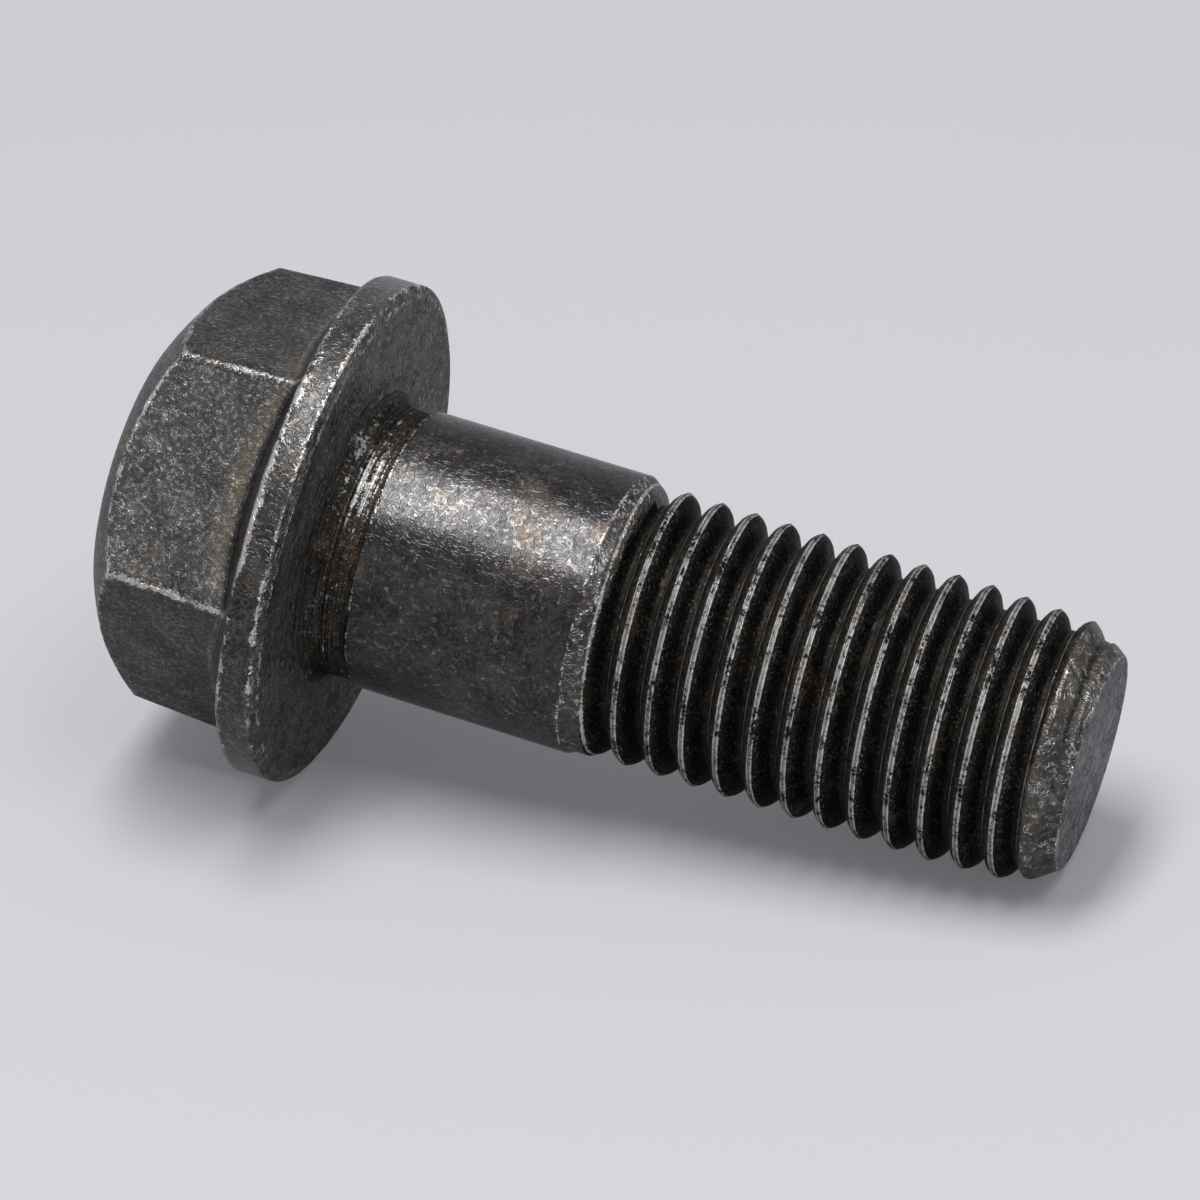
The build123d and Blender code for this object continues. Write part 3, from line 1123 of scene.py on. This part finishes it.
@dataclass
class FittedShank:
    """Undercut neck and plain fitted shank. Sizes in mm.

    hidden, lap: where the shell starts, inside the head, and how far it goes on inside the thread.
    skin: how far the shank's surface lies under the clean form. ridge_depth: of the neck's ridges.
    hammer_depth, lump_depth, dent_depth, nick_depth: of what the shank's surface has met with.
    painted_neck_shade: painted shade in the corners at both ends of the neck.
    """

    neck_r: float = 5.95
    neck_start: float = 0.84
    neck_end: float = 1.95
    radius: float = 6.12
    end: float = 11.6
    hidden: float = 0.5
    lap: float = 0.06
    skin: float = 0.005
    hammer_depth: float = 0.0022
    lump_depth: float = 0.003
    dent_depth: float = 0.03
    nick_depth: float = 0.10
    ridge_depth: float = 0.022
    painted_neck_shade: float = 0.8
    columns: int = 320

    def build(self, neck: bpy.types.Material, shank: bpy.types.Material) -> bpy.types.Object:
        """Makes the shank.

        Args:
            neck: finish of the undercut neck.
            shank: finish of the shank.

        Returns:
            The shank's object.
        """
        azimuths = even_columns(self.columns)
        traced = trace(
            [
                Corner(0.0, self.hidden),
                Corner(self.neck_r - 0.2, self.hidden),
                Corner(self.neck_r - 0.12, self.neck_start - 0.02),
                Corner(self.neck_r - 0.01, self.neck_start + 0.04, 0.02, 3, 18),
                Corner(self.neck_r - 0.05, self.neck_end - 0.01),
                Corner(self.radius - 0.06, self.neck_end + 0.01, wear=0.2, width=0.1),
                Corner(self.radius, self.neck_end + 0.08, 0.04, 4, 58, wear=0.5, width=0.10),
                Corner(self.radius, self.end, 0.05, 4, 1, wear=0.62, width=0.10),
                Corner(self.radius - 0.13, self.end + self.lap),
                Corner(0.0, self.end + self.lap),
            ],
            self.columns,
        )
        ring, step, body, end = (traced.first[i] for i in (3, 5, 6, 7))
        r, z, wear = traced.r.copy(), traced.z.copy(), traced.wear.copy()
        x, y = r * np.cos(azimuths), r * np.sin(azimuths)
        rows = np.arange(traced.rows)[:, None]
        hammered = waviness(x, y, z, 0.5, 2.9)
        lumps = waviness(x, y, z, 2.2, 7.7)
        dents = np.clip(waviness(x, y, z, 0.9, 5.5) - 0.45, 0, None)
        on_body = (rows >= body + 2) & (rows < end)
        on_neck = (rows > ring) & (rows < step)
        uneven = self.hammer_depth * hammered + self.lump_depth * lumps + self.dent_depth * dents
        r -= np.where(on_body, self.skin + uneven, 0)
        ridges = waviness(x * 0.12, y * 0.12, z * 4.5, 0.5, 8.1)
        r += np.where((rows > ring + 1) & (rows < step), self.ridge_depth * ridges - 0.012, 0)
        nicks = np.clip(waviness(x, y, z, 0.3, 1.9) - 0.2, 0, None)
        r -= self.nick_depth * nicks * np.clip(wear - 0.3, 0, 1)
        # the neck's streaks: partly real wear, partly a painted highlight
        wear = np.maximum(wear, np.where(on_neck, streak_wear_and_highlight(azimuths) * np.clip(ridges + 0.1, 0, 1), 0))
        stain = np.where(on_neck, 0.12 + 0.5 * np.clip(ridges, 0, 1), 0.0)
        # painted shade in the recessed corners at both ends of the neck
        at_ends = (rows < ring + 2) | ((rows >= step - 1) & (rows <= step))
        painted_shade = np.where(at_ends, self.painted_neck_shade, 0.0) * np.ones_like(r)

        tube = Tube(traced.rows, self.columns)
        tube.press(azimuths, r, z, {Mark.WEAR: wear, Mark.STAIN: stain, Mark.PAINTED_SHADE: painted_shade})
        tube.dress([0, step + 1])
        tube.unroll(traced.r[:, 0], traced.z[:, 0], 2)
        return tube.finish("plain_shank", [neck, shank])


@dataclass
class RolledThread:
    """Right-hand thread with its run-out, and the chamfered tip. Sizes in mm, angles in degrees.

    hidden: where the shell starts, inside the shank.
    across_crest: how far the rows on each side of a crest are from its middle.
    line, line_half: from the groove's middle to the line at its foot, and half that line's width.
    bulge: how far the flanks are filled out. blend: how far crests and blank run into each other.
    root_round, root_curve, root_drop: the rounding from root to flank, as how far it reaches past the
    root's flat, how open it is, and how far it lowers the flank.
    seam_depth, seam_half: of the fine fold along each crest's middle.
    painted_root_shade, painted_seam_shade, painted_flank_shade: painted shade at the roots, along each
    crest's middle fold and down the flanks, the flanks from head side to tip side.
    """

    crest_r: float = 5.96
    pitch: float = 1.5
    crest_flat: float = 0.1875
    root_flat: float = 0.25
    flank: float = 30.0
    start: float = 11.6
    shank_r: float = 6.12
    first_groove: float = 12.6975
    groove_azimuth: float = -165.0
    run_out: float = 190.0
    lead_start: float = 27.4
    lead_r: float = 5.75
    chamfer: float = 1.6
    tip_r: float = 4.65
    tip: float = 33.0
    hidden: float = 11.35
    columns: int = 240
    across_crest: tuple[float, ...] = (0.0, 0.04, 0.07, 0.098, 0.13, 0.2, 0.33, 0.47, 0.6, 0.67)
    line: float = 0.19
    line_half: float = 0.055
    bulge: float = 0.14
    blend: float = 0.48
    root_round: float = 0.06
    root_curve: float = 0.21
    root_drop: float = 0.052
    nick_depth: float = 0.12
    wobble_depth: float = 0.004
    seam_depth: float = 0.012
    seam_half: float = 0.03
    painted_root_shade: float = 0.85
    painted_seam_shade: float = 0.75
    painted_flank_shade: tuple[float, float] = (0.45, 0.5)
    FAR: ClassVar[float] = 99.0  # mm, where there is no groove

    @property
    def root_r(self) -> float:
        """Radius of the grooves' flat roots."""
        run = (self.pitch - self.crest_flat - self.root_flat) / 2
        return self.crest_r - run / math.tan(math.radians(self.flank))

    def rows_of_pitch(self) -> np.ndarray:
        """Where the rows of one pitch are, with those of the line in place of the one beside it.

        Returns:
            Distances from the groove's middle, in mm.
        """
        half = self.pitch / 2
        after = [half + offset for offset in self.across_crest]
        before = [half - offset for offset in self.across_crest[1:]]
        before = [place for place in before if abs(place - self.line) > self.line_half]
        at_line = [self.line + offset for offset in (-self.line_half, 0.0, self.line_half)]
        return np.array(sorted([0.0, *before, *at_line, *after]))

    def blank_r(self, z: np.ndarray) -> np.ndarray:
        """Radius of the blank that the thread is rolled on.

        Args:
            z: heights.

        Returns:
            The radius at each height.
        """
        outline = [
            (self.hidden - 0.2, self.shank_r - 0.3),
            (self.start - 0.1, self.shank_r - 0.06),
            (self.start, self.shank_r - 0.025),
            (self.start + 0.3, self.crest_r),
            (self.lead_start, self.crest_r),
            (self.tip - self.chamfer, self.lead_r),
            (self.tip, self.tip_r),
        ]
        return np.interp(z, *zip(*outline))

    def groove_r(self, turned: np.ndarray, level: np.ndarray) -> np.ndarray:
        """Radius of the groove's surface.

        Args:
            turned: degrees past the azimuth where the groove is first at full depth, from 0 to 360.
            level: pitches past the groove's middle there.

        Returns:
            The lowest of the two nearest grooves' surfaces.
        """
        slope = math.tan(math.radians(self.flank))
        half_root, root_r = self.root_flat / 2, self.root_r
        lowest = np.full_like(level, self.FAR)
        for number in (np.floor(level), np.floor(level) + 1):
            away = np.abs(level - number) * self.pitch
            raised = root_r + (away - half_root) / slope
            over = np.maximum(raised - root_r, 0)
            rounding = away < half_root + self.root_round
            surface = root_r + np.where(rounding, (over**2) / self.root_curve, over - self.root_drop)
            surface = np.where(away < half_root, root_r, np.maximum(surface, root_r))
            height = np.clip((surface - root_r) / (self.crest_r - root_r), 0, 1)
            surface += self.bulge * np.sin(math.pi * height)
            travelled = number * 360 + turned
            share = np.clip(1 + travelled / self.run_out, 0, 1)
            eased = share * share * (3 - 2 * share)
            clearance = self.crest_r - root_r + 0.3
            ended = np.where(travelled < -self.run_out, self.FAR, 0.0)
            surface = surface + clearance * (1 - eased) + ended
            lowest = np.minimum(lowest, surface)
        return lowest

    def build(
        self, thread: bpy.types.Material, cone: bpy.types.Material, end: bpy.types.Material
    ) -> bpy.types.Object:
        """Makes the thread.

        Args:
            thread: finish of the thread.
            cone: finish of the blank's band and the tip's cone.
            end: finish of the end face.

        Returns:
            The thread's object.
        """
        phases = self.rows_of_pitch()
        rise = len(phases)
        lowest = math.floor((self.hidden - self.first_groove) / self.pitch) - 1
        highest = math.ceil((self.tip - self.first_groove) / self.pitch) + 2
        turns = np.arange(lowest, highest)
        levels = (turns[:, None] + phases[None, :] / self.pitch).ravel()
        turned = np.arange(self.columns) * 360 / self.columns
        azimuths = np.radians(self.groove_azimuth + turned)
        level = np.repeat(levels[:, None], self.columns, axis=1)
        swept = np.repeat(turned[None, :], len(levels), axis=0)
        z = self.first_groove + self.pitch * (level + swept / 360)

        blank, groove = self.blank_r(z), self.groove_r(swept, level)
        led = (np.maximum(blank, self.lead_r) - self.root_r) / (self.crest_r - self.root_r)
        groove = np.where(z > self.lead_start, self.root_r + (groove - self.root_r) * led, groove)
        x, y = self.crest_r * np.cos(azimuths) + 0 * z, self.crest_r * np.sin(azimuths) + 0 * z
        nicks = np.clip(waviness(x, y, z, 0.28, 6.1) - 0.22, 0, None)
        wobble = waviness(x, y, z, 0.7, 3.4)
        seam = (level + 0.5) % 1
        seam = np.minimum(seam, 1 - seam) * self.pitch  # mm from the crest's middle
        mixed = np.clip(0.5 + 0.5 * (groove - blank) / self.blend, 0, 1)
        r = groove * (1 - mixed) + blank * mixed - self.blend * mixed * (1 - mixed)
        on_crest = falling(np.abs(groove - blank), 0.12)
        over_thread = (level > 0.2) & (z < self.tip - self.chamfer)
        fold = self.seam_depth * np.exp(-((seam / self.seam_half) ** 2))
        r -= np.where(over_thread & (groove > blank), fold, 0)
        r -= on_crest * (self.nick_depth * nicks + self.wobble_depth * wobble)
        formed = level > 0.3  # past the run-out, where the crests are whole
        edge = falling(np.abs(seam - self.crest_flat / 2), 0.035) * formed
        edge = np.maximum(edge, falling(np.maximum(np.abs(groove - blank) - 0.03, 0), 0.08) * ~formed)
        crest = (seam < self.crest_flat / 2) & formed
        full = z < self.tip - self.chamfer - 0.15
        wear = np.where(full, np.maximum(1.1 * edge, np.where(crest, 0.72, 0)), 0.4 * edge)
        wear = np.maximum(wear, 0.5 * falling(self.tip - z, 0.14))
        wear = wear * (0.95 + 0.35 * noise_round(azimuths, 3, 1.7))[None, :]
        past = level % 1 * self.pitch  # mm past the groove's middle
        facing_head = past < self.pitch / 2
        deep = np.clip((blank - r) / 0.5, 0, 1)
        line = falling(np.abs(past - self.line), self.line_half) * (level > 0) * (deep > 0.3)
        wear = np.maximum(wear, 1.2 * line)
        # partly a brown tint, partly painted light: the head-facing flanks made lighter and browner than
        # the tip-facing ones, as the side the light falls on
        stain = np.where(facing_head, 0.4, 0.0) * np.clip(deep * 3, 0, 1)
        at_root = np.minimum(past, self.pitch - past) < self.root_flat / 2 + 0.04
        # painted shade down the flanks, deeper into the groove
        painted_shade = np.where(facing_head, *self.painted_flank_shade) * deep
        # painted shade at the roots
        painted_shade = np.where(at_root & (deep > 0.3), self.painted_root_shade, painted_shade) * (1 - line)
        # painted shade along each crest's middle fold, which leaves the crest's edges the brighter
        painted_shade = np.where((seam < 0.05) & formed & full, self.painted_seam_shade, painted_shade)

        tube = Tube(len(levels) - rise, self.columns, rise)
        tube.press(azimuths, r, z, {Mark.WEAR: wear, Mark.STAIN: stain, Mark.PAINTED_SHADE: painted_shade})
        for face in tube.mesh.faces:
            face.smooth = True
            middle = face.calc_center_median().z
            on_band = middle < self.first_groove - 0.2
            face.material_index = int(on_band or middle > self.tip - self.chamfer)
        tube.unroll(r[:, 0], z[:, 0], 1)
        self._close(tube)
        return tube.finish("rolled_thread", [thread, cone, end])

    def _close(self, tube: Tube) -> None:
        """Cuts the helical tube square at both ends and closes the end face with a rounded edge.

        Args:
            tube: the pressed thread.
        """
        mesh = tube.mesh
        for level, way in ((self.hidden, -1), (self.tip - 0.03, 1)):
            geometry = mesh.verts[:] + mesh.edges[:] + mesh.faces[:]
            bmesh.ops.bisect_plane(
                mesh, geom=geometry, dist=0.001, clear_outer=True,
                plane_co=(0, 0, level), plane_no=(0, 0, way),
            )
        bmesh.ops.remove_doubles(mesh, verts=mesh.verts, dist=0.012)
        wear = mesh.verts.layers.float[Mark.WEAR.value]
        ring = [e for e in mesh.edges if e.is_boundary and min(v.co.z for v in e.verts) > self.tip - 0.5]
        reached = self.tip_r + 0.02
        rings = (
            (self.tip_r - 0.03, self.tip - 0.006, 0.6),
            (self.tip_r - 0.08, self.tip, 0.4),
            (self.tip_r - 0.22, self.tip, 0.1),
            *((radius, self.tip, 0.0) for radius in (3.4, 2.0, 0.7)),
        )
        for radius, height, worn in rings:
            made = bmesh.ops.extrude_edge_only(mesh, edges=ring)["geom"]
            fresh = [part for part in made if isinstance(part, bmesh.types.BMVert)]
            bmesh.ops.scale(mesh, vec=(radius / reached, radius / reached, 1), verts=fresh)
            for vert in fresh:
                vert.co.z = height
                vert[wear] = worn
            for face in {face for vert in fresh for face in vert.link_faces}:
                face.material_index, face.smooth = 2, True
            ring = [part for part in made if isinstance(part, bmesh.types.BMEdge) and part.is_boundary]
            reached = radius


# ---------------------------------------------------------------------------------------------------
# Studio
# ---------------------------------------------------------------------------------------------------


@dataclass(frozen=True)
class Lamp:
    """A soft square lamp, aimed at the bolt's middle. Sizes in mm, power in watts."""

    name: str
    place: tuple[float, float, float]
    size: tuple[float, float]
    power: float

    def build(self, target: Vector) -> None:
        """Hangs the lamp.

        Args:
            target: what it is aimed at, in metres.
        """
        data = bpy.data.lights.new(self.name, "AREA")
        data.shape = "RECTANGLE"
        data.size, data.size_y = self.size[0] * MM, self.size[1] * MM
        data.energy = self.power
        lamp = placed(self.name, data)
        lamp.location = Vector(self.place) * MM
        back = (lamp.location - target).normalized()
        across = Vector((0, 0, 1)).cross(back).normalized()
        lamp.rotation_euler = Matrix((across, back.cross(across), back)).transposed().to_euler()


@dataclass
class Studio:
    """The floor that the bolt lies on, soft lamps, pale surroundings and the camera. Sizes in mm."""

    under: float = 33.5  # azimuth of the bolt's underside, degrees
    flange_r: float = 11.05
    flange_z: float = -0.25  # of the flange's edge that touches the floor
    crest_r: float = 5.80
    crest_z: float = 30.6  # of the last crest that does
    fade: tuple[float, float] = (90.0, 170.0)  # where the floor starts and ends going clear
    floor_half: float = 400.0
    pale: Colour = (0.624, 0.631, 0.665)
    floor_colour: Colour = (0.52, 0.528, 0.552)
    lift: float = 0.16  # of the floor's shadows, where the camera sees them
    around: Colour = (0.32, 0.325, 0.337)
    camera_place: tuple[float, float, float] = (-0.46, -246.9, 67.4)
    camera_right: tuple[float, float, float] = (-0.28870, 0.21326, 0.93337)
    camera_up: tuple[float, float, float] = (-0.95742, -0.06430, -0.28144)
    roll: float = 0.35  # degrees
    lens: float = 180.0
    sensor: float = 36.0
    lamps: tuple[Lamp, ...] = (
        Lamp("key", (-293, -289, -86), (325, 112), 1.60),
        Lamp("high", (-248, -296, 112), (200, 120), 0.35),
        Lamp("tip_side", (-60, 60, 320), (260, 260), 0.12),
    )

    def build(self, low: Vector, high: Vector) -> None:
        """Sets everything round the bolt.

        Args:
            low, high: corners of the bolt's box, in metres.
        """
        self._floor()
        self._world()
        self._camera()
        for lamp in self.lamps:
            lamp.build((low + high) / 2)

    def _floor(self) -> None:
        """A plain pale floor that touches the flange and the last crests, and fades far from the bolt."""
        lean = math.atan2(self.flange_r - self.crest_r, self.crest_z - self.flange_z)
        mesh = bmesh.new()
        bmesh.ops.create_grid(mesh, x_segments=1, y_segments=1, size=self.floor_half)
        turn = math.radians(self.under)
        turned = Matrix.Rotation(turn, 3, "Z") @ Matrix.Rotation(-math.pi / 2 - lean, 3, "Y")
        bmesh.ops.rotate(mesh, cent=(0, 0, 0), matrix=turned, verts=mesh.verts)
        touched = (self.flange_r * math.cos(turn), self.flange_r * math.sin(turn), self.flange_z)
        bmesh.ops.translate(mesh, vec=touched, verts=mesh.verts)
        floor = placed_mesh("floor", mesh, [self._floor_finish()])
        floor.visible_diffuse = False
        floor.visible_shadow = False

    def _floor_finish(self) -> bpy.types.Material:
        """Matt and pale near the bolt, and clear far away and from behind.

        Returns:
            The material.
        """
        material = bpy.data.materials.new("pale floor")
        material.use_nodes = True
        graph = Graph(material.node_tree)
        shader = material.node_tree.nodes["Principled BSDF"]
        graph.put(shader.inputs["Base Color"], self.floor_colour)
        shader.inputs["Roughness"].default_value = 0.9
        shader.inputs["Specular IOR Level"].default_value = 0.0
        reach = graph.node("ShaderNodeVectorMath", {0: graph.millimetres()}, operation="LENGTH")
        far = graph.step(reach.outputs["Value"], *self.fade)
        behind = graph.node("ShaderNodeNewGeometry").outputs["Backfacing"]
        path = graph.node("ShaderNodeLightPath").outputs
        seen = graph.greater(path["Is Camera Ray"], path["Is Glossy Ray"])
        glow = graph.node("ShaderNodeEmission", {"Color": self.pale}).outputs[0]
        lifted = graph.shaders(graph.times(seen, self.lift), shader.outputs[0], glow)
        clear = graph.node("ShaderNodeBsdfTransparent").outputs[0]
        mixed = graph.shaders(graph.greater(far, behind), lifted, clear)
        graph.put(material.node_tree.nodes["Material Output"].inputs["Surface"], mixed)
        return material

    def _world(self) -> None:
        """Even surroundings, pale where the camera sees them."""
        world = bpy.data.worlds.new("studio")
        bpy.context.scene.world = world
        world.use_nodes = True
        graph = Graph(world.node_tree)
        back = world.node_tree.nodes["Background"]
        path = graph.node("ShaderNodeLightPath").outputs
        seen = graph.greater(path["Is Camera Ray"], path["Is Glossy Ray"])
        seen = graph.greater(seen, path["Is Transmission Ray"])
        graph.put(back.inputs["Color"], graph.blend(seen, self.around, self.pale))
        back.inputs["Strength"].default_value = 1.0

    def _camera(self) -> None:
        """The camera, rolled so that the bolt lies across the picture."""
        right, up = Vector(self.camera_right).normalized(), Vector(self.camera_up).normalized()
        back = right.cross(up).normalized()
        up = back.cross(right).normalized()
        turned = Matrix.Rotation(math.radians(self.roll), 3, back)
        data = bpy.data.cameras.new("camera")
        data.lens, data.sensor_width = self.lens, self.sensor
        data.clip_start, data.clip_end = 0.01, 20.0
        camera = placed("camera", data)
        camera.location = Vector(self.camera_place) * MM
        camera.rotation_euler = (turned @ Matrix((right, up, back)).transposed()).to_euler()
        bpy.context.scene.camera = camera


def settle(piece: bpy.types.Object) -> None:
    """Puts a piece on the frame: it rides on the bolt's body and stands for its node.

    Args:
        piece: a finished piece's object.
    """
    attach(piece, BODY)
    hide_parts(NODE)
    LOG.info("%s: %d faces", piece.name, len(piece.data.polygons))


def main() -> None:
    """Builds the bolt's pieces in order, then the studio."""
    logging.basicConfig(level=logging.INFO, format="%(name)s: %(message)s")
    scene = bpy.context.scene
    scene.view_settings.view_transform = "Standard"
    low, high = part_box(NODE)
    effects = Effects()
    forged, rim, faced, neck, shank, thread, cone, end = (finish.build(effects) for finish in FINISHES)

    settle(ForgedHead(height=-low.z / MM, flange_r=high.x / MM).build(forged, rim, faced, neck))
    settle(FittedShank().build(neck, shank))
    settle(RolledThread(tip=high.z / MM).build(thread, cone, end))
    Studio().build(low, high)


if __name__ == "__main__":
    main()
